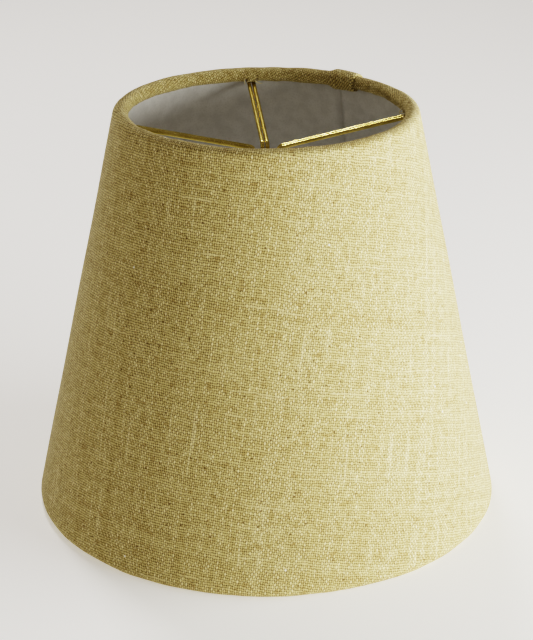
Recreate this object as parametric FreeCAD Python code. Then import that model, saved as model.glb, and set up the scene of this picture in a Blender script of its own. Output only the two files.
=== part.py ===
import FreeCAD, Part
import math
import os

# Clip-on lamp shade for a candle bulb: a cone of linen laminated to a plastic lining, rolled over a
# wire ring at each end, with four sprung wire hairpins that hang from the top ring and grip the bulb.
# Origin at the middle of the bottom rim, +Z up. The hairpins lie along +X, +Y, -X and -Y.

Vector = FreeCAD.Vector
Z_AXIS = Vector(0, 0, 1)

# ---- overall sizes (mm) ----
bottom_diameter = 140.0
top_diameter = 89.0
height = 123.0

# ---- sheet goods ----
roll_radius = 2.4          # outside radius of the rolled rims
fabric_thickness = 0.8
lining_thickness = 0.4
tape_thickness = 0.15
foot_width = 1.2           # flat worn on the underside of the bottom roll

# ---- lap seam, where the two ends of the panel overlap ----
lap_azimuth = 43.0         # folded end of the outer flap, degrees from +X
lap_width = 7.3            # overlap at the top rim
ramp_width = 4.4           # stretch in which the outer flap climbs over the inner end
tape_margin = 0.4          # tape's edges stay inside the overlap
crest_wrap = 150.0         # how far the outer flap reaches over the top roll, degrees

# ---- bulb clip ----
clip_wire_radius = 0.6
pair_pitch = 1.45          # between the two strands of an arm
bend_radius_from_axis = 2.9
bend_depth = 13.2          # inner bend below the top of the shade
inner_bend_radius = 1.6
bulb_diameter = 35.0
grip_squeeze = 0.8         # how far the relaxed fingers sit inside the bulb's surface
loop_half_width = 3.2
loop_corner_radius = 2.6
hairpin_names = ("right", "back", "left", "front")

# ---- clearances ----
ring_clearance = 0.05      # ring wire inside the rolled fabric
weld_clearance = 0.08      # weld saddle round the ring, so that it can turn
weld_film = 0.12           # least thickness of the weld over a strand
weld_thickness = 0.72
weld_side = 0.15           # weld beyond the outer sides of the pair
weld_reach_in = 28.0       # degrees round the ring, towards the axis
weld_end_gap = 0.6         # weld short of the lining
strand_end_gap = 0.7       # allowance between a strand's end and the lining
notch_clearance = 0.5      # fabric notch beyond the weld's sides
notch_top = 0.4            # notch's upper edge below the ring's centre

# ---- derived ----
fabric_inner = roll_radius - fabric_thickness
lining_inner = fabric_inner - lining_thickness
ring_wire_radius = fabric_inner - ring_clearance
top_centre = Vector(top_diameter / 2 - roll_radius, 0, height - roll_radius)
bottom_centre = Vector(bottom_diameter / 2 - roll_radius, 0,
                       math.sqrt(roll_radius ** 2 - (foot_width / 2) ** 2))
slope = (top_centre - bottom_centre).normalize()
outward = Vector(slope.z, 0, -slope.x)

lap_angle = math.degrees(lap_width / (top_diameter / 2))
ramp_angle = math.degrees(ramp_width / (top_diameter / 2))
inner_end_azimuth = lap_azimuth + lap_angle
ramp_end_azimuth = inner_end_azimuth + ramp_angle
flap_inner = roll_radius + tape_thickness + lining_thickness
flap_outer = flap_inner + fabric_thickness

pair_width = pair_pitch + 2 * clip_wire_radius
weld_width = pair_width + 2 * weld_side
notch_width = weld_width + 2 * notch_clearance
weld_inner = ring_wire_radius + weld_clearance
weld_outer = weld_inner + weld_thickness
arm_drop = weld_inner + weld_film + clip_wire_radius
arm_overrun = lining_inner - strand_end_gap
bend_height = height - bend_depth
belly_reach = bulb_diameter / 2 + clip_wire_radius - grip_squeeze

# Shape of a finger below the inner bend: depth, share of the belly's reach, share of the loop's width.
finger_outline = (
    (7.0, 0.36, 0.0),
    (16.0, 0.64, 0.0),
    (26.5, 0.88, 0.35),
    (36.0, 1.00, 0.85),
    (43.5, 0.95, 1.0),
    (49.0, 0.91, 1.0),
    (54.0, 1.02, 1.0),
)


def wall_point(centre, out, up):
    """Point in the section plane, 'out' from the line of ring centres and 'up' along the slope."""
    return centre + outward * out + slope * up


def turned(shape, azimuth):
    """Copy of a shape turned about the shade's axis."""
    copy = shape.copy()
    copy.rotate(Vector(0, 0, 0), Z_AXIS, azimuth)
    return copy


def swept_round(face, start, sweep):
    """Solid of a section face swept round the axis from one azimuth through an angle."""
    return turned(face, start).revolve(Vector(0, 0, 0), Z_AXIS, sweep)


def ring_arc(centre, radius, start, end):
    """Arc in the section plane; angles are measured from 'outward' towards 'slope'."""
    points = []
    for angle in (start, (start + end) / 2, end):
        turn = math.radians(angle)
        points.append(wall_point(centre, radius * math.cos(turn), radius * math.sin(turn)))
    return Part.Arc(*points).toShape()


def roll_face(centre, inner, outer, end_inner, end_outer):
    """Section of a layer wrapped round a ring, from the outside of the wall to its tucked end."""
    outer_arc = ring_arc(centre, outer, 0, end_outer)
    inner_arc = ring_arc(centre, inner, 0, end_inner)
    start_edge = Part.makeLine(inner_arc.firstVertex().Point, outer_arc.firstVertex().Point)
    end_edge = Part.makeLine(outer_arc.lastVertex().Point, inner_arc.lastVertex().Point)
    return Part.Face(Part.Wire(Part.__sortEdges__([start_edge, outer_arc, end_edge, inner_arc])))


def rim_roll(centre, side):
    """Fabric rolled round a ring and tucked against the lining. side is 1 at the top, -1 below."""
    end_outer = 360 - math.degrees(math.acos(lining_inner / roll_radius))
    end_inner = 360 - math.degrees(math.acos(lining_inner / fabric_inner))
    face = roll_face(centre, fabric_inner, roll_radius, side * end_inner, side * end_outer)
    return swept_round(face, 0, 360)


def wall_wire(inner, outer, end_gap):
    """Outline of a straight stretch of wall, between two distances from the line of ring centres."""
    corners = [
        wall_point(bottom_centre, inner, end_gap),
        wall_point(bottom_centre, outer, end_gap),
        wall_point(top_centre, outer, -end_gap),
        wall_point(top_centre, inner, -end_gap),
    ]
    return Part.makePolygon(corners + [corners[0]])


def lapped_wall(inner, thickness, flap, end_gap):
    """One sheet of the wall: all the way round, up a ramp and over its own first end."""
    main_wire = wall_wire(inner, inner + thickness, end_gap)
    flap_wire = wall_wire(flap, flap + thickness, end_gap)
    main = swept_round(Part.Face(main_wire), ramp_end_azimuth, 360 - ramp_angle)
    end_wires = [turned(main_wire, ramp_end_azimuth), turned(flap_wire, inner_end_azimuth)]
    ramp = Part.makeLoft(end_wires, True, True)
    over = swept_round(Part.Face(flap_wire), lap_azimuth, lap_angle)
    return main.fuse([ramp, over])


def section_block(out_limits, up_limits, width):
    """Block beside the top ring, square to the wall, centred on the +X arm."""
    corners = [
        wall_point(top_centre, out_limits[0], up_limits[0]),
        wall_point(top_centre, out_limits[1], up_limits[0]),
        wall_point(top_centre, out_limits[1], up_limits[1]),
        wall_point(top_centre, out_limits[0], up_limits[1]),
    ]
    face = Part.Face(Part.makePolygon(corners + [corners[0]]))
    face.translate(Vector(0, -width / 2, 0))
    return face.extrude(Vector(0, width, 0))


def fabric_cover():
    """Linen skin with rolled rims, lap flap, flat foot and a notch over each arm."""
    wall = lapped_wall(fabric_inner, fabric_thickness, flap_inner, 0)
    crest = roll_face(top_centre, roll_radius, flap_outer, crest_wrap, crest_wrap)
    rolls = [rim_roll(top_centre, 1), rim_roll(bottom_centre, -1)]
    cover = wall.fuse(rolls + [swept_round(crest, lap_azimuth, lap_angle)])
    below = Part.makeCylinder(bottom_diameter, roll_radius, Vector(0, 0, -roll_radius))
    cover = cover.cut(below)
    notch = section_block((-2 * roll_radius, lining_inner), (-2 * roll_radius, -notch_top), notch_width)
    for number in range(len(hairpin_names)):
        cover = cover.cut(turned(notch, 90 * number))
    return cover.removeSplitter()


def lining_panel():
    """Stiff lining sheet, which stops short of the rings."""
    flap = roll_radius + tape_thickness
    return lapped_wall(lining_inner, lining_thickness, flap, ring_wire_radius).removeSplitter()


def seam_tape():
    """Double-sided tape between the two laps."""
    margin = math.degrees(tape_margin / (top_diameter / 2))
    face = Part.Face(wall_wire(roll_radius, roll_radius + tape_thickness, ring_wire_radius))
    return swept_round(face, lap_azimuth + margin, lap_angle - 2 * margin)


def ring(centre):
    """Round wire ring."""
    return Part.makeTorus(centre.x, ring_wire_radius, Vector(0, 0, centre.z))


def rounded_path(points, radii):
    """Wire of straight runs joined by tangent arcs; radii holds one radius per inner point."""
    edges = []
    start = points[0]
    for before, corner, after, radius in zip(points, points[1:], points[2:], radii):
        back = (before - corner).normalize()
        ahead = (after - corner).normalize()
        half_turn = (math.pi - back.getAngle(ahead)) / 2
        setback = radius * math.tan(half_turn)
        arc_start = corner + back * setback
        arc_end = corner + ahead * setback
        middle = (back + ahead).normalize()
        arc_middle = corner + middle * (radius / math.cos(half_turn) - radius)
        edges.append(Part.makeLine(start, arc_start))
        edges.append(Part.Arc(arc_start, arc_middle, arc_end).toShape())
        start = arc_end
    edges.append(Part.makeLine(start, points[-1]))
    return Part.Wire(edges)


def smooth_radius(before, corner, after):
    """Largest comfortable arc between two neighbouring runs."""
    back = before - corner
    ahead = after - corner
    half_turn = (math.pi - back.getAngle(ahead)) / 2
    return 0.45 * min(back.Length, ahead.Length) / math.tan(half_turn)


def arm_direction():
    """Direction of an arm from the inner bend to the ring, passing just under the ring's wire."""
    rise = top_centre.z - bend_height
    run = top_centre.x - bend_radius_from_axis
    angle = math.atan2(rise, run) - math.asin(arm_drop / math.hypot(rise, run))
    return Vector(math.cos(angle), 0, math.sin(angle))


def arm_foot():
    """Point of an arm's centre line that is nearest to the ring's centre."""
    direction = arm_direction()
    bend = Vector(bend_radius_from_axis, 0, bend_height)
    return bend + direction * (top_centre - bend).dot(direction)


def hairpin_path():
    """Centre line of the +X hairpin: out along one arm, down, round the loop and back."""
    strand = Vector(0, pair_pitch / 2, 0)
    points = [arm_foot() + arm_direction() * arm_overrun + strand]
    points.append(Vector(bend_radius_from_axis, 0, bend_height) + strand)
    for depth, reach, spread in finger_outline:
        side = pair_pitch / 2 + spread * (loop_half_width - pair_pitch / 2)
        points.append(Vector(belly_reach * reach, side, bend_height - depth))
    mirrored = [Vector(point.x, -point.y, point.z) for point in reversed(points)]
    points = points + mirrored
    radii = [smooth_radius(*three) for three in zip(points, points[1:], points[2:])]
    loop_first = len(points) // 2 - 2
    radii[0] = inner_bend_radius
    radii[-1] = inner_bend_radius
    radii[loop_first] = loop_corner_radius
    radii[loop_first + 1] = loop_corner_radius
    return rounded_path(points, radii)


def hairpin():
    """Bulb-gripping hairpin of round wire, on the +X side."""
    path = hairpin_path()
    start = path.Edges[0].firstVertex().Point
    circle = Part.Wire(Part.makeCircle(clip_wire_radius, start, arm_direction()))
    solid = path.makePipeShell([circle], True, False)
    print("hairpin", round(path.Length, 2), "mm of wire, volume against section times length",
          round(solid.Volume / (path.Length * math.pi * clip_wire_radius ** 2), 4))
    return solid


def clip_weld(wire):
    """Weld saddle between the top ring and the two strands of the +X arm."""
    foot = arm_foot() - top_centre
    start = math.atan2(foot.z, foot.x) - math.radians(weld_reach_in)
    end = math.atan2(outward.z, outward.x) - math.acos((lining_inner - weld_end_gap) / weld_outer)
    inner, outer = [[top_centre + Vector(radius * math.cos(angle), 0, radius * math.sin(angle))
                     for angle in (start, (start + end) / 2, end)] for radius in (weld_inner, weld_outer)]
    edges = [
        Part.Arc(*inner).toShape(),
        Part.makeLine(inner[2], outer[2]),
        Part.Arc(*outer).toShape(),
        Part.makeLine(outer[0], inner[0]),
    ]
    face = Part.Face(Part.Wire(Part.__sortEdges__(edges)))
    face.translate(Vector(0, -weld_width / 2, 0))
    return face.extrude(Vector(0, weld_width, 0)).cut(wire)


def save(name, shape):
    """Write one node and say what it is."""
    print(name, "solids", len(shape.Solids), "valid", shape.isValid(), "volume", round(shape.Volume, 1))
    shape.exportStep("parts/" + name + ".step")


os.makedirs("parts", exist_ok=True)
save("fabric_cover", fabric_cover())
save("lining_panel", lining_panel())
save("seam_tape", seam_tape())
save("top_ring", ring(top_centre))
save("bottom_ring", ring(bottom_centre))

right_hairpin = hairpin()
right_weld = clip_weld(right_hairpin)
for number, name in enumerate(hairpin_names):
    save("clip_hairpin_" + name, turned(right_hairpin, 90 * number))
    save("clip_weld_" + name, turned(right_weld, 90 * number))
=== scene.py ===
# %% [markdown]
# # A clip-on candle shade in olive linen
# The shade is a paper-thin wall: linen glued to a stiff plastic sheet, bent into a cone and closed with
# a lap seam. Its edges are rolled over two wire rings, and four brass-plated spring hairpins hang
# inside. The frame that is loaded here holds the engineered parts at their true places. Everything
# below dresses them: the cloth and its lining are made new, and the metal keeps its engineered shape.

# %% Load the frame
import math
import random

import bmesh
import bpy
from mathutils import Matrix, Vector, noise


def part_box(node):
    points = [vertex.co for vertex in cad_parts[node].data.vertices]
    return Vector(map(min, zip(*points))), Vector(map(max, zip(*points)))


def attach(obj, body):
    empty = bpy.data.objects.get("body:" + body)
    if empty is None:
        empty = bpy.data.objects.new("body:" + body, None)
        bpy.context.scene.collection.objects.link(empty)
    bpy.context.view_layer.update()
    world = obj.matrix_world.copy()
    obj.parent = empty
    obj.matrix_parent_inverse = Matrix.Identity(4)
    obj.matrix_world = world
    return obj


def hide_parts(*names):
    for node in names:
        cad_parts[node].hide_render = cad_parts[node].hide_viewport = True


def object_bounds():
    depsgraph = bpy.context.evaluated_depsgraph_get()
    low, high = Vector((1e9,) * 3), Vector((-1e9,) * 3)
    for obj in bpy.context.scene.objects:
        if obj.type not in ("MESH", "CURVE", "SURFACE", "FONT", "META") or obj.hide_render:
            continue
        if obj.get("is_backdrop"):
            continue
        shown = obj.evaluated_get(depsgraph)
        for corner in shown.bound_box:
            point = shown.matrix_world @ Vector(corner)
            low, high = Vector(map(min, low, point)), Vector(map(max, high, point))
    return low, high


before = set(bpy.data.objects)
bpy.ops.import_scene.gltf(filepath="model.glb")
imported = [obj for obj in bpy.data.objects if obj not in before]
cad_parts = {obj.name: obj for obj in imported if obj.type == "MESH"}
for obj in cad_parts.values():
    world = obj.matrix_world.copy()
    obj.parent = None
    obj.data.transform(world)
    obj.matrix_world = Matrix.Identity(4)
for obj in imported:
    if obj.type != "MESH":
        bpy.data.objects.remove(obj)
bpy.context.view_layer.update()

MM = 0.001

# %% [markdown]
# ## The sizes that everything follows
# A ring of round wire sits inside each rolled rim, so the two rings give the whole shape. Their boxes
# say how wide and how high they are. The wall is tangent to both rolls, and leans inward by one angle
# all the way round. The seam tape says where the lap is, because the lap is a little wider than its
# tape. These could be typed in by hand, but read from the frame they can't be wrong.

# %% Measure the rings and the wall
def ring_size(node):
    """Radius and height of the line through the middle of a ring's wire."""
    low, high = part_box(node)
    wire = (high[2] - low[2]) / 2
    return high[0] - wire, low[2] + wire


top_radius, top_height = ring_size("top_ring")
bottom_radius, bottom_height = ring_size("bottom_ring")
roll_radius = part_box("fabric_cover")[1][0] - bottom_radius
slant = math.hypot(bottom_radius - top_radius, top_height - bottom_height)
lean = math.atan2(bottom_radius - top_radius, top_height - bottom_height)
print("lean", round(math.degrees(lean), 2), "degrees, roll radius", round(roll_radius / MM, 2), "mm")

# %% Find the lap
TAPE_MARGIN = math.radians(0.52)
RAMP_LENGTH = math.radians(4.2)

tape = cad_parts["seam_tape"].data.vertices
tape_azimuths = [math.atan2(vertex.co.y, vertex.co.x) for vertex in tape]
fold_azimuth = min(tape_azimuths) - TAPE_MARGIN
inner_end_azimuth = max(tape_azimuths) + TAPE_MARGIN + 2 * math.pi
ramp_start_azimuth = inner_end_azimuth - 2 * math.pi
ramp_end_azimuth = ramp_start_azimuth + RAMP_LENGTH
print("lap from", round(math.degrees(fold_azimuth), 1), "to", round(math.degrees(ramp_start_azimuth), 1),
      "degrees")

# %% [markdown]
# ## The camera
# The shade is seen from a little above, from about half a metre, which is close enough for the bottom
# rim to look clearly wider than the top. A long lens keeps the sides straight. The camera stands
# slightly to the left of the -Y side, so one arm of the clip points nearly away from it.

# %% Place the camera
CAMERA_AZIMUTH = math.radians(-6.6)
CAMERA_DISTANCE = 0.5361
CAMERA_HEIGHT = 0.277
CAMERA_PITCH = math.radians(22.44)
CAMERA_LENS = 108.0

camera_data = bpy.data.cameras.new("camera")
camera_data.lens = CAMERA_LENS
camera_data.clip_start = 10 * MM
camera = bpy.data.objects.new("camera", camera_data)
bpy.context.scene.collection.objects.link(camera)
camera.location = (CAMERA_DISTANCE * math.sin(CAMERA_AZIMUTH),
                   -CAMERA_DISTANCE * math.cos(CAMERA_AZIMUTH), CAMERA_HEIGHT)
camera.rotation_euler = (math.pi / 2 - CAMERA_PITCH, 0, CAMERA_AZIMUTH)
bpy.context.scene.camera = camera
print("camera looks down by", round(math.degrees(CAMERA_PITCH), 1), "degrees")

# %% [markdown]
# ## Small tools for building materials
# A finish is arithmetic on a place. For cloth it asks which thread this is, how far across it we are,
# and whether it is on top here. Each question is a Math node. A node tree could be wired by hand in the
# editor, but written down as sums it stays readable, so these helpers add a node and wire it at once.

# %% Node helpers
def principled(name):
    """New material; returns it with its node tree and its Principled node."""
    material = bpy.data.materials.new(name)
    material.use_nodes = True
    tree = material.node_tree
    return material, tree, tree.nodes["Principled BSDF"]


def add_node(tree, kind, inputs=None, **settings):
    """Adds a node, sets its properties and wires or fills its inputs."""
    node = tree.nodes.new(kind)
    for key, value in settings.items():
        setattr(node, key, value)
    for key, value in (inputs or {}).items():
        if isinstance(value, bpy.types.NodeSocket):
            tree.links.new(value, node.inputs[key])
        else:
            node.inputs[key].default_value = value
    return node


def calc(tree, operation, first, second=0.0, third=0.0, clamp=False):
    """One Math node; each input is a number or another node's output."""
    inputs = {0: first, 1: second, 2: third}
    return add_node(tree, "ShaderNodeMath", inputs, operation=operation, use_clamp=clamp).outputs[0]


def smooth_step(tree, value, low, high):
    """0 below low, 1 above high, smooth between."""
    limits = {"Value": value, "From Min": low, "From Max": high}
    return add_node(tree, "ShaderNodeMapRange", limits, interpolation_type="SMOOTHSTEP").outputs[0]


# %% Colour and pattern helpers
def blend_colours(tree, factor, first, second):
    """One colour Mix node; a colour is three numbers or another node's output."""
    node = add_node(tree, "ShaderNodeMix", {0: factor}, data_type="RGBA")
    for socket, colour in ((node.inputs[6], first), (node.inputs[7], second)):
        if isinstance(colour, bpy.types.NodeSocket):
            tree.links.new(colour, socket)
        else:
            socket.default_value = (*colour, 1)
    return node.outputs[2]


def tint(tree, colour, mask, strength, paint):
    """Lays a paint over a colour, as strongly as the mask says."""
    return blend_colours(tree, calc(tree, "MULTIPLY", mask, strength), colour, paint)


def cloud(tree, where, scale, detail=2.0):
    """Soft random value at each place."""
    settings = {"Vector": where, "Scale": scale, "Detail": detail}
    return add_node(tree, "ShaderNodeTexNoise", settings).outputs[0]


def object_place(tree):
    """Place on the piece in metres, which doesn't slide when the piece moves."""
    return add_node(tree, "ShaderNodeTexCoord").outputs["Object"]


def roughen(tree, shader, height, strength, depth):
    """Small relief that is too fine to model."""
    relief = add_node(tree, "ShaderNodeBump", {"Height": height, "Strength": strength, "Distance": depth})
    tree.links.new(relief.outputs[0], shader.inputs["Normal"])

# %% [markdown]
# ## The studio
# One soft light close by on the right gives the cloth its slow change from bright to dark, which is
# what makes a plain cone look round. A wide, weak, warmer one fills the left side. A small one, high up
# behind, puts the bright line on the right arm of the clip. The floor glows faintly to stay pale, and
# the sky's light is weaker from above, so that the inside stays darker than the outside. A filmic
# view with strong contrast keeps the lit side from burning out and still lets the gaps go dark.

# %% Floor and sky
FLOOR_SIZE = 8
FLOOR_COLOUR = (0.93, 0.93, 0.92, 1)
FLOOR_ROUGHNESS = 0.9
FLOOR_GLOW_COLOUR = (1.0, 0.96, 0.9, 1)
FLOOR_GLOW = 0.31
SKY_COLOUR = (1.0, 0.90, 0.80, 1)
SKY_LEVEL = 0.185
SKY_OVERHEAD = 0.145

bpy.ops.mesh.primitive_plane_add(size=FLOOR_SIZE)
floor = bpy.context.object
floor.name = "studio_floor"
floor_material, _, floor_shader = principled("pale_floor")
floor_shader.inputs["Base Color"].default_value = FLOOR_COLOUR
floor_shader.inputs["Roughness"].default_value = FLOOR_ROUGHNESS
floor_shader.inputs["Emission Color"].default_value = FLOOR_GLOW_COLOUR
floor_shader.inputs["Emission Strength"].default_value = FLOOR_GLOW
floor.data.materials.append(floor_material)
floor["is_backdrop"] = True

world = bpy.data.worlds.new("studio")
world.use_nodes = True
sky = world.node_tree
background = sky.nodes["Background"]
background.inputs["Color"].default_value = SKY_COLOUR
facing = add_node(sky, "ShaderNodeTexCoord").outputs["Generated"]
height = add_node(sky, "ShaderNodeSeparateXYZ", {0: facing}).outputs[2]
strength = add_node(sky, "ShaderNodeMapRange",
                    {"Value": height, "To Min": SKY_LEVEL, "To Max": SKY_OVERHEAD}).outputs[0]
sky.links.new(strength, background.inputs["Strength"])
bpy.context.scene.world = world

# %% Lights
def soft_light(name, azimuth, elevation, distance, size, power, colour):
    """Area light that shines at the middle of the shade. Azimuth 0 is behind the camera."""
    data = bpy.data.lights.new(name, "AREA")
    data.shape = "RECTANGLE"
    data.size, data.size_y = size
    data.energy = power
    data.color = colour
    light = bpy.data.objects.new(name, data)
    turn = math.radians(azimuth) + CAMERA_AZIMUTH
    rise = math.radians(elevation)
    light.location = Vector((math.sin(turn) * math.cos(rise), -math.cos(turn) * math.cos(rise),
                             math.sin(rise))) * distance
    middle = Vector((0, 0, top_height / 2))
    light.rotation_euler = (middle - light.location).to_track_quat("-Z", "Y").to_euler()
    bpy.context.scene.collection.objects.link(light)
    print(name, "light of", power, "watts at", distance, "m")


soft_light("key", azimuth=73, elevation=12.5, distance=0.5, size=(0.6, 0.2), power=4.75,
           colour=(1.0, 1.0, 0.97))
soft_light("fill", azimuth=-80, elevation=13, distance=1.3, size=(1.4, 0.55), power=1.15,
           colour=(1.0, 0.9, 0.76))
soft_light("spark", azimuth=-162, elevation=57, distance=1.0, size=(0.18, 0.12), power=2.7,
           colour=(1.0, 0.96, 0.95))

bpy.context.scene.view_settings.view_transform = "Filmic"
bpy.context.scene.view_settings.look = "Very High Contrast"

# %% [markdown]
# ## The linen
# Linen is a plain weave of uneven yarn. The warp, which runs up the shade, and the weft, which runs
# round it, pass over and under each other in turn, and at each corner between them a small gap is left,
# which is darkened with painted shade; the crowns of the threads get a painted highlight. The warp is a
# shade paler than the weft, so the cloth shows a fine check. Flax yarn has slubs, which are thick pale
# stretches, dark flecks of bark and a few white fibres.
#
# Threads could be modelled, but a shade has far too many of them, and an image of cloth would repeat.
# So the weave is drawn by sums, in the cloth's own flat measure. It runs straight through the lap and
# the rolls as real cloth does, and slants towards the edges of the cone because flat cloth was bent.

# %% One set of threads
WARP_PITCH = 0.62 * MM
WEFT_PITCH = 0.72 * MM
YARN_TO_YARN = 3.7
ALONG_YARN = 0.32
UNEVEN_WIDTH = 0.5
SLUB_TO_SLUB = 5.3
ALONG_SLUB = 0.024
SLUB_SEED = 9.0
SLUB_LIMITS = (0.715, 0.79)
SLUB_WIDTH = 0.14


def on_yarn(tree, number, along, apart, stretch, seed, detail):
    """Soft random value that changes along each yarn, and from one yarn to the next."""
    where = add_node(tree, "ShaderNodeCombineXYZ", {0: calc(tree, "MULTIPLY", number, apart),
                                                    1: calc(tree, "MULTIPLY", along, stretch), 2: seed})
    return cloud(tree, where.outputs[0], 1.0, detail)


def thread_set(tree, across, along, seed, thickness):
    """Number of each thread, place across it (-1 to 1), its width, slub, tone and unevenness."""
    number = calc(tree, "FLOOR", across)
    place = calc(tree, "MULTIPLY_ADD", calc(tree, "FRACT", across), 2.0, -1.0)
    tone = add_node(tree, "ShaderNodeTexWhiteNoise", {"W": calc(tree, "ADD", number, seed)},
                    noise_dimensions="1D").outputs[0]
    uneven = on_yarn(tree, number, along, YARN_TO_YARN, ALONG_YARN, seed, 2.0)
    lumpy = on_yarn(tree, number, along, SLUB_TO_SLUB, ALONG_SLUB, seed + SLUB_SEED, 0.0)
    slub = smooth_step(tree, lumpy, *SLUB_LIMITS)
    width = calc(tree, "MULTIPLY_ADD", uneven, UNEVEN_WIDTH, thickness)
    width = calc(tree, "MULTIPLY_ADD", slub, SLUB_WIDTH, width)
    return {"number": number, "place": place, "width": width, "slub": slub, "tone": tone,
            "uneven": uneven}


def thread_height(tree, threads, along, phase, swing):
    """Height of round threads that pass over and under the ones that cross them."""
    share = calc(tree, "DIVIDE", threads["place"], threads["width"])
    fall = calc(tree, "MULTIPLY_ADD", calc(tree, "MULTIPLY", share, share), -1.0, 1.0)
    round_top = calc(tree, "SQRT", calc(tree, "MAXIMUM", fall, 0.0))
    crossing = calc(tree, "ADD", along, threads["number"])
    wave = calc(tree, "SINE", calc(tree, "MULTIPLY_ADD", crossing, math.pi, phase))
    return calc(tree, "MULTIPLY", round_top, calc(tree, "MULTIPLY_ADD", wave, swing, 1 - swing))


# %% The two sets woven together
WANDER_SCALE = 110.0
WANDER = 1.6
JOSTLE_SCALE = 800.0
JOSTLE = 0.8
WARP_SEED = 11.0
WEFT_SEED = 47.0
WARP_THICKNESS = 0.52
WEFT_THICKNESS = 0.44
WARP_SWING = 0.40
WEFT_SWING = 0.20
CROSSING_SOFTNESS = 0.12


def strayed(tree, flat):
    """How many threads the yarn has strayed from straight, across and along."""
    wander = add_node(tree, "ShaderNodeTexNoise", {"Vector": flat, "Scale": WANDER_SCALE, "Detail": 2.0})
    pull = add_node(tree, "ShaderNodeSeparateColor", {0: wander.outputs["Color"]})
    jostle = add_node(tree, "ShaderNodeTexNoise", {"Vector": flat, "Scale": JOSTLE_SCALE, "Detail": 1.0})
    push = add_node(tree, "ShaderNodeSeparateColor", {0: jostle.outputs["Color"]})
    shifts = []
    for axis in (0, 1):
        small = calc(tree, "MULTIPLY", push.outputs[axis], JOSTLE)
        shifts.append(calc(tree, "MULTIPLY_ADD", pull.outputs[axis], WANDER, small))
    return shifts


def woven(tree, flat):
    """Warp, weft, the height of the cloth and whether the warp is on top."""
    parts = add_node(tree, "ShaderNodeSeparateXYZ", {0: flat})
    across_shift, along_shift = strayed(tree, flat)
    across = calc(tree, "MULTIPLY_ADD", parts.outputs[0], 1 / WARP_PITCH, across_shift)
    along = calc(tree, "MULTIPLY_ADD", parts.outputs[1], 1 / WEFT_PITCH, along_shift)
    warp = thread_set(tree, across, along, WARP_SEED, WARP_THICKNESS)
    weft = thread_set(tree, along, across, WEFT_SEED, WEFT_THICKNESS)
    warp_height = thread_height(tree, warp, along, 0.0, WARP_SWING)
    weft_height = thread_height(tree, weft, across, math.pi, WEFT_SWING)
    height = calc(tree, "SMOOTH_MAX", warp_height, weft_height, CROSSING_SOFTNESS)
    return warp, weft, height, calc(tree, "GREATER_THAN", warp_height, weft_height)


# %% Tone, slubs and gaps of the weave
YARN_TONE = 0.15
UNEVEN_TONE = 0.62
BASE_TONE = 0.115
PALER_WARP = 0.105
GAP_FIBRE_SCALE = 1500.0
GAP_HEIGHTS = (0.22, 0.80)
GAP_FIBRES = 1.3
GAP_LEAST = 0.22


def pick(tree, warp_on_top, warp, weft):
    """The value of the thread that is on top."""
    return calc(tree, "MULTIPLY_ADD", calc(tree, "SUBTRACT", warp, weft), warp_on_top, weft)


def weave_group():
    """Node group: flat cloth coordinates in, thread height, tone, slub and gap out."""
    group = bpy.data.node_groups.new("plain_weave", "ShaderNodeTree")
    group.interface.new_socket("Flat", in_out="INPUT", socket_type="NodeSocketVector")
    for name in ("Height", "Tone", "Slub", "Gap"):
        group.interface.new_socket(name, in_out="OUTPUT", socket_type="NodeSocketFloat")
    flat = group.nodes.new("NodeGroupInput").outputs[0]
    out = group.nodes.new("NodeGroupOutput")
    warp, weft, height, warp_on_top = woven(group, flat)

    warp_shows = calc(group, "MULTIPLY_ADD", warp_on_top, 0.5, 0.5)
    weft_shows = calc(group, "MULTIPLY_ADD", warp_on_top, -0.5, 0.5)
    slub = calc(group, "MAXIMUM", calc(group, "MULTIPLY", warp["slub"], warp_shows),
                calc(group, "MULTIPLY", weft["slub"], weft_shows))

    uneven = pick(group, warp_on_top, warp["uneven"], weft["uneven"])
    tone = calc(group, "MULTIPLY_ADD", pick(group, warp_on_top, warp["tone"], weft["tone"]), YARN_TONE,
                calc(group, "MULTIPLY_ADD", uneven, UNEVEN_TONE, BASE_TONE))
    tone = calc(group, "MULTIPLY_ADD", warp_on_top, 2 * PALER_WARP,
                calc(group, "SUBTRACT", tone, PALER_WARP))

    # Where the gaps between threads lie; the linen colour darkens them with painted shade.
    fibres = cloud(group, flat, GAP_FIBRE_SCALE, 1.0)
    gap = calc(group, "SUBTRACT", 1.0, smooth_step(group, height, *GAP_HEIGHTS))
    gap = calc(group, "MULTIPLY", gap, calc(group, "MULTIPLY_ADD", fibres, GAP_FIBRES, GAP_LEAST, clamp=True))
    for name, value in (("Height", height), ("Tone", tone), ("Slub", slub), ("Gap", gap)):
        group.links.new(value, out.inputs[name])
    return group


weave = weave_group()
print("weave group has", len(weave.nodes), "nodes")

# %% Colour of the yarn
THREAD = (0.52, 0.428, 0.188)
PALE_THREAD = (0.82, 0.735, 0.42)
DARK_THREAD = (0.35, 0.262, 0.097)
# Painted highlight on the crowns of the threads, where light would catch them.
CROWN_PAINTED_HIGHLIGHT = (0.80, 0.71, 0.38)
BLOTCH_BROWN = (0.36, 0.26, 0.10)
# Painted shade in the gaps between threads, where the weave's own shade falls.
GAP_PAINTED_SHADE = (0.060, 0.040, 0.014)
DARK_TONES = (0.28, 0.5)
PALE_TONES = (0.5, 0.78)
HIGHLIGHT_HEIGHTS = (0.72, 1.0)
HIGHLIGHT_STRENGTH = 0.4
SLUB_STRENGTH = 0.65
BLOTCH_SCALE = 420.0
BLOTCH_LIMITS = (0.57, 0.70)
BLOTCH_STRENGTH = 0.68
GAP_SHADE_STRENGTH = 0.86


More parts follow.
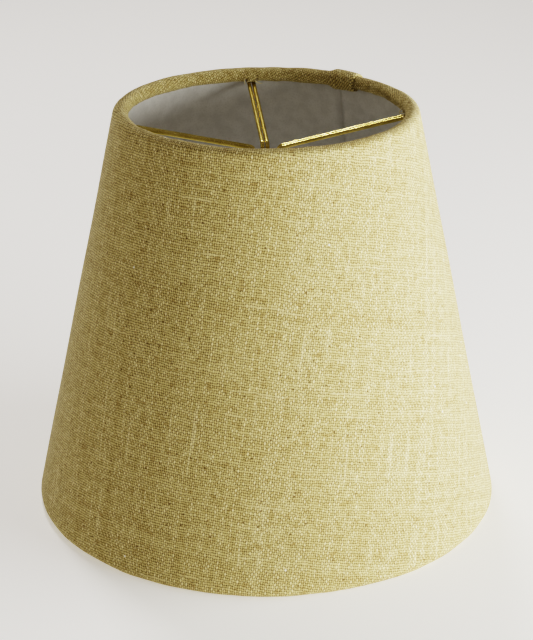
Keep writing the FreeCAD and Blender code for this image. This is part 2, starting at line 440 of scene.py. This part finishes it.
def yarn_colour(tree, flat, height, tone, slub, gap):
    """From dark to pale by tone, paler on slubs, browner in blotches, with a painted highlight on the crowns
    and painted shade in the gaps.
    """
    colour = blend_colours(tree, smooth_step(tree, tone, *DARK_TONES), DARK_THREAD, THREAD)
    colour = blend_colours(tree, smooth_step(tree, tone, *PALE_TONES), colour, PALE_THREAD)
    # Painted highlight: the crowns of the threads are lightened.
    colour = tint(tree, colour, smooth_step(tree, height, *HIGHLIGHT_HEIGHTS), HIGHLIGHT_STRENGTH, CROWN_PAINTED_HIGHLIGHT)
    colour = tint(tree, colour, slub, SLUB_STRENGTH, PALE_THREAD)
    blotches = smooth_step(tree, cloud(tree, flat, BLOTCH_SCALE, 3.0), *BLOTCH_LIMITS)
    colour = tint(tree, colour, blotches, BLOTCH_STRENGTH, BLOTCH_BROWN)
    # Painted shade: the gaps between threads are darkened.
    return tint(tree, colour, gap, GAP_SHADE_STRENGTH, GAP_PAINTED_SHADE)


# %% Flecks of bark and white fibres
BARK_BROWN = (0.12, 0.07, 0.025)
WHITE_FIBRE = (0.85, 0.84, 0.74)
FLECK_SCALE = 230.0
FLECK_LIMITS = (0.035, 0.10)
BARK_OVER = 0.84
BARK_STRENGTH = 0.85
FIBRE_UNDER = 0.010
FIBRE_STRENGTH = 0.9


def flecked(tree, flat, colour):
    """Adds a small spot in some cells of the cloth: bark in one cell of six, white in one of a hundred."""
    cells = add_node(tree, "ShaderNodeTexVoronoi", {"Vector": flat, "Scale": FLECK_SCALE, "Randomness": 1.0},
                     voronoi_dimensions="2D")
    lot = add_node(tree, "ShaderNodeSeparateColor", {0: cells.outputs["Color"]}).outputs[0]
    near = calc(tree, "SUBTRACT", 1.0, smooth_step(tree, cells.outputs["Distance"], *FLECK_LIMITS))
    bark = calc(tree, "MULTIPLY", near, calc(tree, "GREATER_THAN", lot, BARK_OVER))
    fibre = calc(tree, "MULTIPLY", near, calc(tree, "LESS_THAN", lot, FIBRE_UNDER))
    colour = tint(tree, colour, bark, BARK_STRENGTH, BARK_BROWN)
    return tint(tree, colour, fibre, FIBRE_STRENGTH, WHITE_FIBRE)


# %% Linen material
FUZZ_SCALE = 5200.0
FUZZ_RELIEF = 0.25
SLUB_RELIEF = 0.25
LINEN_BUMP = 0.4
LINEN_BUMP_DEPTH = 0.16 * MM
LINEN_ROUGHNESS = 0.80
GAP_ROUGHNESS = 0.12
LINEN_SURFACE = {"Specular IOR Level": 0.25, "Sheen Weight": 0.12, "Sheen Roughness": 0.45,
                 "Sheen Tint": (1.0, 0.97, 0.86, 1)}


def linen_material():
    """Woven, slubbed and flecked linen, drawn in the cloth's flat coordinates."""
    material, tree, shader = principled("olive_linen")
    flat = add_node(tree, "ShaderNodeUVMap", uv_map="flat_cloth").outputs[0]
    cloth = add_node(tree, "ShaderNodeGroup", node_tree=weave)
    tree.links.new(flat, cloth.inputs[0])
    height, tone, slub, gap = cloth.outputs[:4]
    colour = flecked(tree, flat, yarn_colour(tree, flat, height, tone, slub, gap))
    tree.links.new(colour, shader.inputs["Base Color"])

    fuzz = cloud(tree, flat, FUZZ_SCALE)
    relief = calc(tree, "MULTIPLY_ADD", fuzz, FUZZ_RELIEF,
                  calc(tree, "MULTIPLY_ADD", slub, SLUB_RELIEF, height))
    roughen(tree, shader, relief, LINEN_BUMP, LINEN_BUMP_DEPTH)
    rough = calc(tree, "MULTIPLY_ADD", gap, GAP_ROUGHNESS, LINEN_ROUGHNESS)
    tree.links.new(rough, shader.inputs["Roughness"])
    for socket, value in LINEN_SURFACE.items():
        shader.inputs[socket].default_value = value
    return material


linen = linen_material()
print("linen material has", len(linen.node_tree.nodes), "nodes")

# %% [markdown]
# ## Cutting and rolling the cloth
# A cone is a flat sheet that has been bent, so its cloth is cut as part of a ring: a fan-shaped panel
# with a margin at the top and bottom for the rolls. A cone primitive would have no lap and no rolls.
# Here a flat grid is the panel. Each point knows how far round and how far up it is, and one function
# says where such a point goes when the panel is bent, rolled over the rings and lapped. A simulation
# would add nothing, because the cloth is glued tight to its lining.
#
# The section comes first. It is a path from the lower tucked edge, round the bottom roll, up the wall
# and round the top roll, and the distance along it is called travel.

# %% Section of the rolled wall
CLOTH = 0.42 * MM
TUCK = 0.9 * MM

cloth_roll = roll_radius - CLOTH / 2
tuck_angle = 2 * math.pi - math.acos(TUCK / cloth_roll)
roll_length = cloth_roll * tuck_angle
section_length = 2 * roll_length + slant
outward = (math.cos(lean), math.sin(lean))
upward = (-math.sin(lean), math.cos(lean))


def section_point(travel, proud):
    """Radius and height of a point of the section, moved out of it by 'proud'."""
    centre = (bottom_radius, bottom_height)
    turn = 0.0
    along = 0.0
    up = 1
    if travel < roll_length:
        turn = (roll_length - travel) / cloth_roll
        up = -1
    elif travel > roll_length + slant:
        centre = (top_radius, top_height)
        turn = (travel - roll_length - slant) / cloth_roll
    else:
        along = travel - roll_length
    reach = cloth_roll + proud
    out = reach * math.cos(turn)
    rise = up * reach * math.sin(turn) + along
    return (centre[0] + out * outward[0] + rise * upward[0],
            centre[1] + out * outward[1] + rise * upward[1])


print("cloth panel is", round(section_length / MM, 1), "mm from tucked edge to tucked edge")

# %% [markdown]
# ## What the hand leaves behind
# A rim that is turned by hand is never even. It has small lumps all round, a thicker tuck near one arm,
# and a short tongue of cloth in each notch that stands a little proud. Sculpting would do it, but it
# could not follow a changed size. So smooth noise moves each point a little in or out, more on the
# rolls than on the wall.

# %% Unevenness
WALL_WAVE = 0.16 * MM
WALL_WAVE_SCALE = 1.9
WALL_WAVE_STRETCH = 1.3
WALL_WAVE_HEIGHT = 40 * MM
RIM_SCALE = 7.0
RIM_LUMPS = 0.20 * MM
RIM_SMALL_SCALE = 3.1
RIM_SMALL_LUMPS = 0.14 * MM
TOP_SEED = 5.0
BOTTOM_SEED = 9.0
LUMPS_START = 5
SMALL_LUMPS_START = 2
TIGHT_ROLL = 0.28 * MM
THICK_TUCK = (math.radians(2), math.radians(7), math.radians(21), math.radians(24))
THICK_TUCK_SIZE = 0.3 * MM
THICK_TUCK_START = 3
THICK_TUCK_DELAY = 0.9
NOTCH_HALF_ANGLE = math.radians(2.75)
TONGUE_HALF_ANGLE = math.radians(1.75)
TONGUE_LIFT = 0.45 * MM
TONGUE_LIFT_FROM = 0.58
TONGUE_LIFT_OVER = 0.16
JUST_OVER = 1.01
arm_azimuths = [math.radians(90 * turn) for turn in range(1, 5)]


def smooth(value):
    """Eases 0 to 1."""
    value = max(0.0, min(1.0, value))
    return value * value * (3 - 2 * value)


def into_the_roll(travel):
    """0 on the straight wall, 1 at a tucked edge."""
    return max(roll_length - travel, travel - roll_length - slant, 0) / roll_length


def top_shape(azimuth, into_roll):
    """The top roll's own shape: drawn tight, thicker at one tuck, lifted at the tongues."""
    start, full, fall, end = THICK_TUCK
    place = azimuth % (2 * math.pi)
    thick = smooth((place - start) / (full - start)) * smooth((end - place) / (end - fall))
    shape = thick * THICK_TUCK_SIZE * smooth(into_roll * THICK_TUCK_START - THICK_TUCK_DELAY)
    shape -= TIGHT_ROLL
    from_arm = min(abs(azimuth - arm) for arm in arm_azimuths + [0])
    if from_arm < TONGUE_HALF_ANGLE * JUST_OVER:
        shape += TONGUE_LIFT * smooth((into_roll - TONGUE_LIFT_FROM) / TONGUE_LIFT_OVER)
    return shape


def waviness(azimuth, travel):
    """Small unevenness of the glued wall and, more strongly, of the hand-turned rolls."""
    direction = Vector((math.cos(azimuth), math.sin(azimuth), 0))
    spot = direction * WALL_WAVE_SCALE
    spot.z = travel / WALL_WAVE_HEIGHT
    wall = noise.noise(spot * WALL_WAVE_STRETCH) * WALL_WAVE
    in_upper_half = travel > section_length / 2
    into_roll = into_the_roll(travel)
    rim = direction * RIM_SCALE
    rim.z = TOP_SEED if in_upper_half else BOTTOM_SEED
    small_lumps = noise.noise(rim * RIM_SMALL_SCALE) * RIM_SMALL_LUMPS
    lumps = noise.noise(rim) * RIM_LUMPS + small_lumps * smooth(into_roll * SMALL_LUMPS_START)
    if in_upper_half:
        lumps += top_shape(azimuth, into_roll)
    return wall + lumps * smooth(into_roll * LUMPS_START)

# %% [markdown]
# ## The lap and its folded edge
# The panel goes once round and a little further. Its outer end climbs over the inner end, and its raw
# edge is folded back under itself, so that no yarn can fray there. Two sheets could be laid over each
# other, but one sheet that climbs makes the soft ramp of real cloth. The point's place on the flat
# panel is worked out beside it, and becomes the UV map, so the weave stays true.

# %% Where each point of the panel goes
WALL_LAP_RISE = 1.0 * MM
ROLL_LAP_RISE = 0.86 * MM
ROLL_LAP_START = 6
FOLD_RADIUS = 0.215 * MM
FOLD_RETURN = 3.0 * MM
FOLD_PRESS = 0.12 * MM
FOLD_PRESS_WIDTH = 1.0 * MM

mean_radius = (top_radius + bottom_radius) / 2
grain_azimuth = (fold_azimuth + inner_end_azimuth) / 2
apex_to_bottom = (bottom_radius + cloth_roll * math.cos(lean)) / math.sin(lean)


def lap_climb(azimuth):
    """1 where a sheet lies over its own inner end, easing to 0 beyond it."""
    return smooth((ramp_end_azimuth - azimuth) / (ramp_end_azimuth - ramp_start_azimuth))


def panel_place(azimuth, travel):
    """Point of the bent panel. An azimuth before the fold is measured on round the folded edge."""
    past_fold = (fold_azimuth - azimuth) * mean_radius
    on_roll = smooth(into_the_roll(travel) * ROLL_LAP_START)
    proud = (WALL_LAP_RISE + (ROLL_LAP_RISE - WALL_LAP_RISE) * on_roll) * lap_climb(azimuth)
    if azimuth < math.pi / 2:
        from_fold = abs(past_fold) if past_fold < 0 else 0
        proud -= FOLD_PRESS * on_roll * smooth(1 - from_fold / FOLD_PRESS_WIDTH)
    turned_azimuth = azimuth
    if past_fold > 0:
        bend = min(past_fold / FOLD_RADIUS, math.pi)
        beyond = past_fold - bend * FOLD_RADIUS
        proud -= FOLD_RADIUS * (1 - math.cos(bend))
        back = FOLD_RADIUS * math.sin(bend) - beyond
        turned_azimuth = fold_azimuth - back / section_point(travel, 0)[0]
    radius, height = section_point(travel, proud + waviness(turned_azimuth, travel))
    height = max(height, CLOTH / 2)
    return Vector((radius * math.cos(turned_azimuth), radius * math.sin(turned_azimuth), height))


def panel_flat(azimuth, travel):
    """The same point on the flat cut panel."""
    reach = apex_to_bottom + roll_length - travel
    turn = (azimuth - grain_azimuth) * math.sin(lean)
    return Vector((reach * math.sin(turn), -reach * math.cos(turn)))


# %% Rows and columns of the panel
FLAP_STEPS = 4
FOLD_STEPS = 8
COLUMN_STEP = 0.95
BOTTOM_ROLL_ROWS = 24
WALL_ROWS = 36
TOP_ROLL_ROWS = 30


def spread(low, high, count):
    """Evenly spaced values from low to high, without the last one."""
    return [low + (high - low) * step / count for step in range(count)]


bend_end = math.pi * FOLD_RADIUS
columns = []
for step in range(FLAP_STEPS, 0, -1):
    columns.append(fold_azimuth - (bend_end + FOLD_RETURN * step / FLAP_STEPS) / mean_radius)
for step in range(FOLD_STEPS, 0, -1):
    columns.append(fold_azimuth - bend_end * step / FOLD_STEPS / mean_radius)
stops = [fold_azimuth]
for azimuth in arm_azimuths:
    stops += [azimuth - NOTCH_HALF_ANGLE, azimuth - TONGUE_HALF_ANGLE]
    stops += [azimuth + TONGUE_HALF_ANGLE, azimuth + NOTCH_HALF_ANGLE]
stops.append(inner_end_azimuth)
for low, high in zip(stops, stops[1:]):
    columns += spread(low, high, max(2, round(math.degrees(high - low) / COLUMN_STEP)))
columns.append(inner_end_azimuth)

rows = spread(0, roll_length, BOTTOM_ROLL_ROWS)
rows += spread(roll_length, roll_length + slant, WALL_ROWS)
rows += spread(roll_length + slant, section_length, TOP_ROLL_ROWS)
rows.append(section_length)
print("panel grid is", len(columns), "columns by", len(rows), "rows")


# %% Bend a flat grid into a sheet
def cut_out(mesh, spots, keep):
    """Deletes the faces that 'keep' turns down by their column and row."""
    work = bmesh.new()
    work.from_mesh(mesh)
    unwanted = []
    for face in work.faces:
        places = [spots[vertex.index] for vertex in face.verts]
        column = min(place[0] for place in places)
        row = min(place[1] for place in places)
        if not keep(column, row):
            unwanted.append(face)
    bmesh.ops.delete(work, geom=unwanted, context="FACES")
    work.to_mesh(mesh)
    work.free()


def bent_grid(name, columns, rows, place, flat):
    """Grid whose points are put in place by their column and row, and each point's column and row."""
    across, up = len(columns), len(rows)
    bpy.ops.object.select_all(action="DESELECT")
    bpy.ops.mesh.primitive_grid_add(x_subdivisions=across - 1, y_subdivisions=up - 1, size=2)
    grid = bpy.context.object
    grid.name = name
    mesh = grid.data
    spots = {}
    for vertex in mesh.vertices:
        column = round((vertex.co.x + 1) / 2 * (across - 1))
        row = round((vertex.co.y + 1) / 2 * (up - 1))
        spots[vertex.index] = (column, row)
        vertex.co = place(columns[column], rows[row])
    flat_map = mesh.uv_layers.active
    flat_map.name = "flat_cloth"
    for loop in mesh.loops:
        column, row = spots[loop.vertex_index]
        flat_map.data[loop.index].uv = flat(columns[column], rows[row])
    return grid, spots


def thicken(sheet, thickness):
    """Gives a sheet its thickness, half to each side, and shades it smooth."""
    solid = sheet.modifiers.new("thickness", "SOLIDIFY")
    solid.thickness = thickness
    solid.offset = 0
    solid.use_even_offset = False
    bpy.context.view_layer.objects.active = sheet
    bpy.ops.object.modifier_apply(modifier=solid.name)
    bpy.ops.object.select_all(action="DESELECT")
    sheet.select_set(True)
    bpy.ops.object.shade_smooth()


# %% The linen cover, with a notch over each arm of the clip
NOTCH_TOP = 0.4 * MM
TONGUE_LOW = 1.65 * MM


def in_cover(column, row):
    """False inside the four notches, where the arms of the clip come through the top roll."""
    turn = ((rows[row] + rows[row + 1]) / 2 - roll_length - slant) / cloth_roll
    middle = (columns[column] + columns[column + 1]) / 2
    offset = min(abs(middle - azimuth) for azimuth in arm_azimuths)
    if offset > NOTCH_HALF_ANGLE:
        return True
    lowest = TONGUE_LOW if offset < TONGUE_HALF_ANGLE else NOTCH_TOP
    return turn < math.pi + math.asin(lowest / cloth_roll)


cover, cover_spots = bent_grid("linen_cover", columns, rows, panel_place, panel_flat)
cut_out(cover.data, cover_spots, in_cover)
thicken(cover, CLOTH)
cover.data.materials.append(linen)
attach(cover, "shade")
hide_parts("fabric_cover")
print("linen cover has", len(cover.data.polygons), "faces")

# %% [markdown]
# ## Frayed yarn at the notches
# Where the cloth was snipped for the arms, a few yarn ends stick out. A particle system would scatter
# them anywhere, so each one is placed: a curve with a round section, tapered and made into a mesh.
# There is a loose end beside the tongue, one that pokes out sideways, and a few finer fibres. A small
# random bend makes each notch its own. Each end is its radius and the points it runs through, in mm:
# sideways, inward and up from the ring.

# %% Loose yarn material
TWIST_SCALE = 3500.0
TWIST_LIMITS = (0.35, 0.65)
TWIST_BUMP = 0.6
TWIST_DEPTH = 0.05 * MM
LOOSE_ROUGHNESS = 0.85
LOOSE_YARN = (0.72, 0.62, 0.34)
LOOSE_YARN_PALE = (0.95, 0.90, 0.66)

loose_yarn, tree, shader = principled("loose_linen_yarn")
twist = cloud(tree, object_place(tree), TWIST_SCALE)
colour = blend_colours(tree, smooth_step(tree, twist, *TWIST_LIMITS), LOOSE_YARN, LOOSE_YARN_PALE)
tree.links.new(colour, shader.inputs["Base Color"])
shader.inputs["Roughness"].default_value = LOOSE_ROUGHNESS
roughen(tree, shader, twist, TWIST_BUMP, TWIST_DEPTH)
print("loose yarn material has", len(tree.nodes), "nodes")

# %% Yarn ends
YARN_ENDS = (
    (0.25, ((2.0, 1.8, -0.5), (2.35, 2.35, -1.2), (2.2, 2.5, -2.0), (2.3, 2.45, -2.6))),
    (0.27, ((-0.9, 1.7, -1.45), (-1.5, 2.3, -1.85), (-2.3, 2.6, -2.2), (-3.2, 2.5, -2.15))),
    (0.19, ((-1.5, 1.6, -1.3), (-1.9, 2.3, -1.5), (-2.3, 2.6, -1.7))),
    (0.13, ((0.6, 1.6, -1.6), (1.4, 2.3, -1.75), (1.9, 2.5, -1.95))),
    (0.08, ((-2.3, 1.8, -0.6), (-2.5, 2.5, -1.2), (-2.9, 2.8, -1.3))),
)
YARN_BEND = 0.12
YARN_TAPER = 0.75
chance = random.Random(8)


def yarn_end(thickness, points):
    """One tapering yarn end through the given points."""
    bpy.ops.object.select_all(action="DESELECT")
    bpy.ops.curve.primitive_nurbs_path_add()
    yarn = bpy.context.object
    curve = yarn.data
    curve.splines.clear()
    spline = curve.splines.new("NURBS")
    spline.points.add(len(points) - 1)
    spline.use_endpoint_u = True
    spline.order_u = 3
    for index, (point, place) in enumerate(zip(spline.points, points)):
        point.co = (*place, 1)
        point.radius = 1 - YARN_TAPER * index / (len(points) - 1)
    curve.dimensions = "3D"
    curve.bevel_depth = thickness * MM
    curve.bevel_resolution = 1
    curve.resolution_u = 5
    curve.use_fill_caps = True
    yarn.select_set(True)
    bpy.ops.object.convert(target="MESH")
    return bpy.context.object


def frayed_notch(name, azimuth):
    """All the yarn ends of one notch, as one piece."""
    sideways = Vector((-math.sin(azimuth), math.cos(azimuth), 0))
    inward = Vector((-math.cos(azimuth), -math.sin(azimuth), 0))
    upright = Vector((0, 0, 1))
    ring = Vector((top_radius * math.cos(azimuth), top_radius * math.sin(azimuth), top_height))
    ends = []
    for thickness, route in YARN_ENDS:
        bend = Vector([chance.uniform(-YARN_BEND, YARN_BEND) for _ in range(3)])
        places = []
        for step, point in enumerate(route):
            side, depth, rise = Vector(point) + bend * step
            places.append(ring + (sideways * side + inward * depth + upright * rise) * MM)
        ends.append(yarn_end(thickness, places))
    bpy.ops.object.select_all(action="DESELECT")
    for end in ends:
        end.select_set(True)
    bpy.context.view_layer.objects.active = ends[0]
    bpy.ops.object.join()
    bpy.ops.object.transform_apply()
    bpy.ops.object.shade_smooth()
    piece = bpy.context.object
    piece.name = name
    piece.data.materials.append(loose_yarn)
    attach(piece, "shade")
    return piece


for name, azimuth in (("right", 0), ("back", 90), ("left", 180), ("front", 270)):
    yarn = frayed_notch("frayed_yarn_" + name, math.radians(azimuth))
    print(yarn.name, len(yarn.data.polygons), "faces")

# %% [markdown]
# ## The lining
# Behind the linen is a thin sheet of styrene, which is what makes the shade stand up. It follows the
# same spiral, so its inner end shows as a fine step down the inside, at the lap. The same bent grid
# makes it, a little smaller, so that cloth and lining can't drift apart. It is an off-white plastic
# with a satin face, almost even in colour, with a faint mottle where the glue took.

# %% Lining sheet
LINING = 0.4 * MM
LINING_MIDDLE = 1.4 * MM
LINING_LAP_RISE = 1.33 * MM
LINING_START = math.radians(3.9)
LINING_COLUMNS = 300
LINING_ROWS = 30


def lining_place(azimuth, travel):
    """Point of the lining, which runs from ring to ring without rolls."""
    lift = LINING_MIDDLE - cloth_roll + LINING_LAP_RISE * lap_climb(azimuth)
    radius, height = section_point(travel, lift + waviness(azimuth, travel))
    return Vector((radius * math.cos(azimuth), radius * math.sin(azimuth), height))


lining_columns = spread(fold_azimuth + LINING_START, inner_end_azimuth, LINING_COLUMNS)
lining_columns.append(inner_end_azimuth)
lining_rows = spread(roll_length, roll_length + slant, LINING_ROWS)
lining_rows.append(roll_length + slant)
lining, _ = bent_grid("styrene_lining", lining_columns, lining_rows, lining_place, panel_flat)
thicken(lining, LINING)
print("lining has", len(lining.data.polygons), "faces")

# %% Styrene material
STYRENE = (0.61, 0.605, 0.585)
STYRENE_PALE = (0.68, 0.675, 0.655)
STYRENE_GRAIN = (0.48, 0.47, 0.44)
MOTTLE_SCALE = 260.0
MOTTLE_LIMITS = (0.35, 0.65)
GRAIN_SCALE = 1900.0
GRAIN_LIMITS = (0.45, 0.7)
GRAIN_STRENGTH = 0.25
GRAIN_BUMP = 0.25
GRAIN_DEPTH = 0.03 * MM
STYRENE_ROUGHNESS = 0.42
MOTTLE_ROUGHNESS = 0.2

styrene, tree, shader = principled("satin_styrene")
spot = object_place(tree)
mottle = cloud(tree, spot, MOTTLE_SCALE, 4.0)
grain = cloud(tree, spot, GRAIN_SCALE)
colour = blend_colours(tree, smooth_step(tree, mottle, *MOTTLE_LIMITS), STYRENE, STYRENE_PALE)
colour = tint(tree, colour, smooth_step(tree, grain, *GRAIN_LIMITS), GRAIN_STRENGTH, STYRENE_GRAIN)
tree.links.new(colour, shader.inputs["Base Color"])
rough = calc(tree, "MULTIPLY_ADD", mottle, MOTTLE_ROUGHNESS, STYRENE_ROUGHNESS)
tree.links.new(rough, shader.inputs["Roughness"])
roughen(tree, shader, grain, GRAIN_BUMP, GRAIN_DEPTH)
lining.data.materials.append(styrene)
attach(lining, "shade")
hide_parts("lining_panel")
print("styrene material has", len(tree.nodes), "nodes")

# %% [markdown]
# ## The metal
# The clip and the rings are drawn steel wire with a thin plating of brass. Drawing leaves fine lines and
# the plating dulls in patches, so the colour and the gloss both vary a little. The welds are duller
# and browner, because their heat burned some of the plating off. One plain gold colour would look
# like a toy, so two noises of different size share the work. Each keeps its engineered shape.

# %% Metal materials
PATCH_SCALE = 190.0
PATCH_LIMITS = (0.42, 0.66)
LINE_SCALE = 2600.0
LINE_LIMITS = (0.60, 0.74)
LINE_STRENGTH = 0.45
LINE_SHADE = 0.45
LINE_BUMP = 0.4
PATCH_DULLNESS = 0.18
LINE_DULLNESS = 0.15


def metal(name, bright, dull, shine, rub=1.0, bump_depth=0.012):
    """Plated wire: two tones in patches, fine drawing lines and uneven gloss."""
    material, tree, shader = principled(name)
    spot = object_place(tree)
    patches = cloud(tree, spot, PATCH_SCALE, 4.0)
    lines = cloud(tree, spot, LINE_SCALE, 3.0)
    worn = smooth_step(tree, lines, *LINE_LIMITS)
    shade = tuple(value * LINE_SHADE for value in dull)
    colour = blend_colours(tree, smooth_step(tree, patches, *PATCH_LIMITS), bright, dull)
    colour = tint(tree, colour, worn, LINE_STRENGTH * rub, shade)
    tree.links.new(colour, shader.inputs["Base Color"])
    shader.inputs["Metallic"].default_value = 1.0
    rough = calc(tree, "MULTIPLY_ADD", patches, PATCH_DULLNESS, shine)
    rough = calc(tree, "MULTIPLY_ADD", worn, LINE_DULLNESS, rough)
    tree.links.new(rough, shader.inputs["Roughness"])
    roughen(tree, shader, lines, LINE_BUMP, bump_depth * MM)
    print(name, "has", len(tree.nodes), "nodes")
    return material


bright_brass = metal("plated_brass_wire", (0.80, 0.66, 0.23), (0.62, 0.50, 0.15), 0.12, rub=0.4)
ring_plate = metal("plated_ring_wire", (0.78, 0.60, 0.24), (0.52, 0.42, 0.22), 0.24)
weld_metal = metal("plated_weld", (0.60, 0.44, 0.18), (0.34, 0.25, 0.12), 0.34, rub=1.6, bump_depth=0.05)

# %% [markdown]
# ## The tape
# A strip of clear double-sided tape holds the lap. It is buried between the two ends of the lining and
# hardly shows, but a part that is there should be right when the shade is taken apart. Tape that has
# been pressed down is full of small flat bubbles, and a cell pattern gives those in one node.

# %% Tape material
BUBBLE_SCALE = 900.0
BUBBLE_LIMITS = (0.1, 0.4)
BUBBLE_BUMP = 0.2
BUBBLE_DEPTH = 0.02 * MM
TAPE_ROUGHNESS = 0.3
TAPE_CLEARNESS = 0.4
TAPE_CLEAR = (0.92, 0.91, 0.86)
TAPE_CLOUDY = (0.80, 0.78, 0.70)

tape_material, tree, shader = principled("clear_tape")
bubbles = add_node(tree, "ShaderNodeTexVoronoi",
                   {"Vector": object_place(tree), "Scale": BUBBLE_SCALE}).outputs["Distance"]
colour = blend_colours(tree, smooth_step(tree, bubbles, *BUBBLE_LIMITS), TAPE_CLEAR, TAPE_CLOUDY)
tree.links.new(colour, shader.inputs["Base Color"])
shader.inputs["Roughness"].default_value = TAPE_ROUGHNESS
shader.inputs["Transmission Weight"].default_value = TAPE_CLEARNESS
roughen(tree, shader, bubbles, BUBBLE_BUMP, BUBBLE_DEPTH)
print("tape material has", len(tree.nodes), "nodes")

# %% Give the engineered parts their finish
FINISHES = (("clip_hairpin", bright_brass), ("clip_weld", weld_metal), ("top_ring", ring_plate),
            ("bottom_ring", ring_plate), ("seam_tape", tape_material))

finished = 0
for name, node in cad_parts.items():
    for start, material in FINISHES:
        if name.startswith(start):
            node.data.materials.clear()
            node.data.materials.append(material)
            finished += 1
print("finished", finished, "engineered parts")

# %% Finish
low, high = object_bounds()
print("size", [round((end - start) / MM, 1) for start, end in zip(low, high)], "mm")
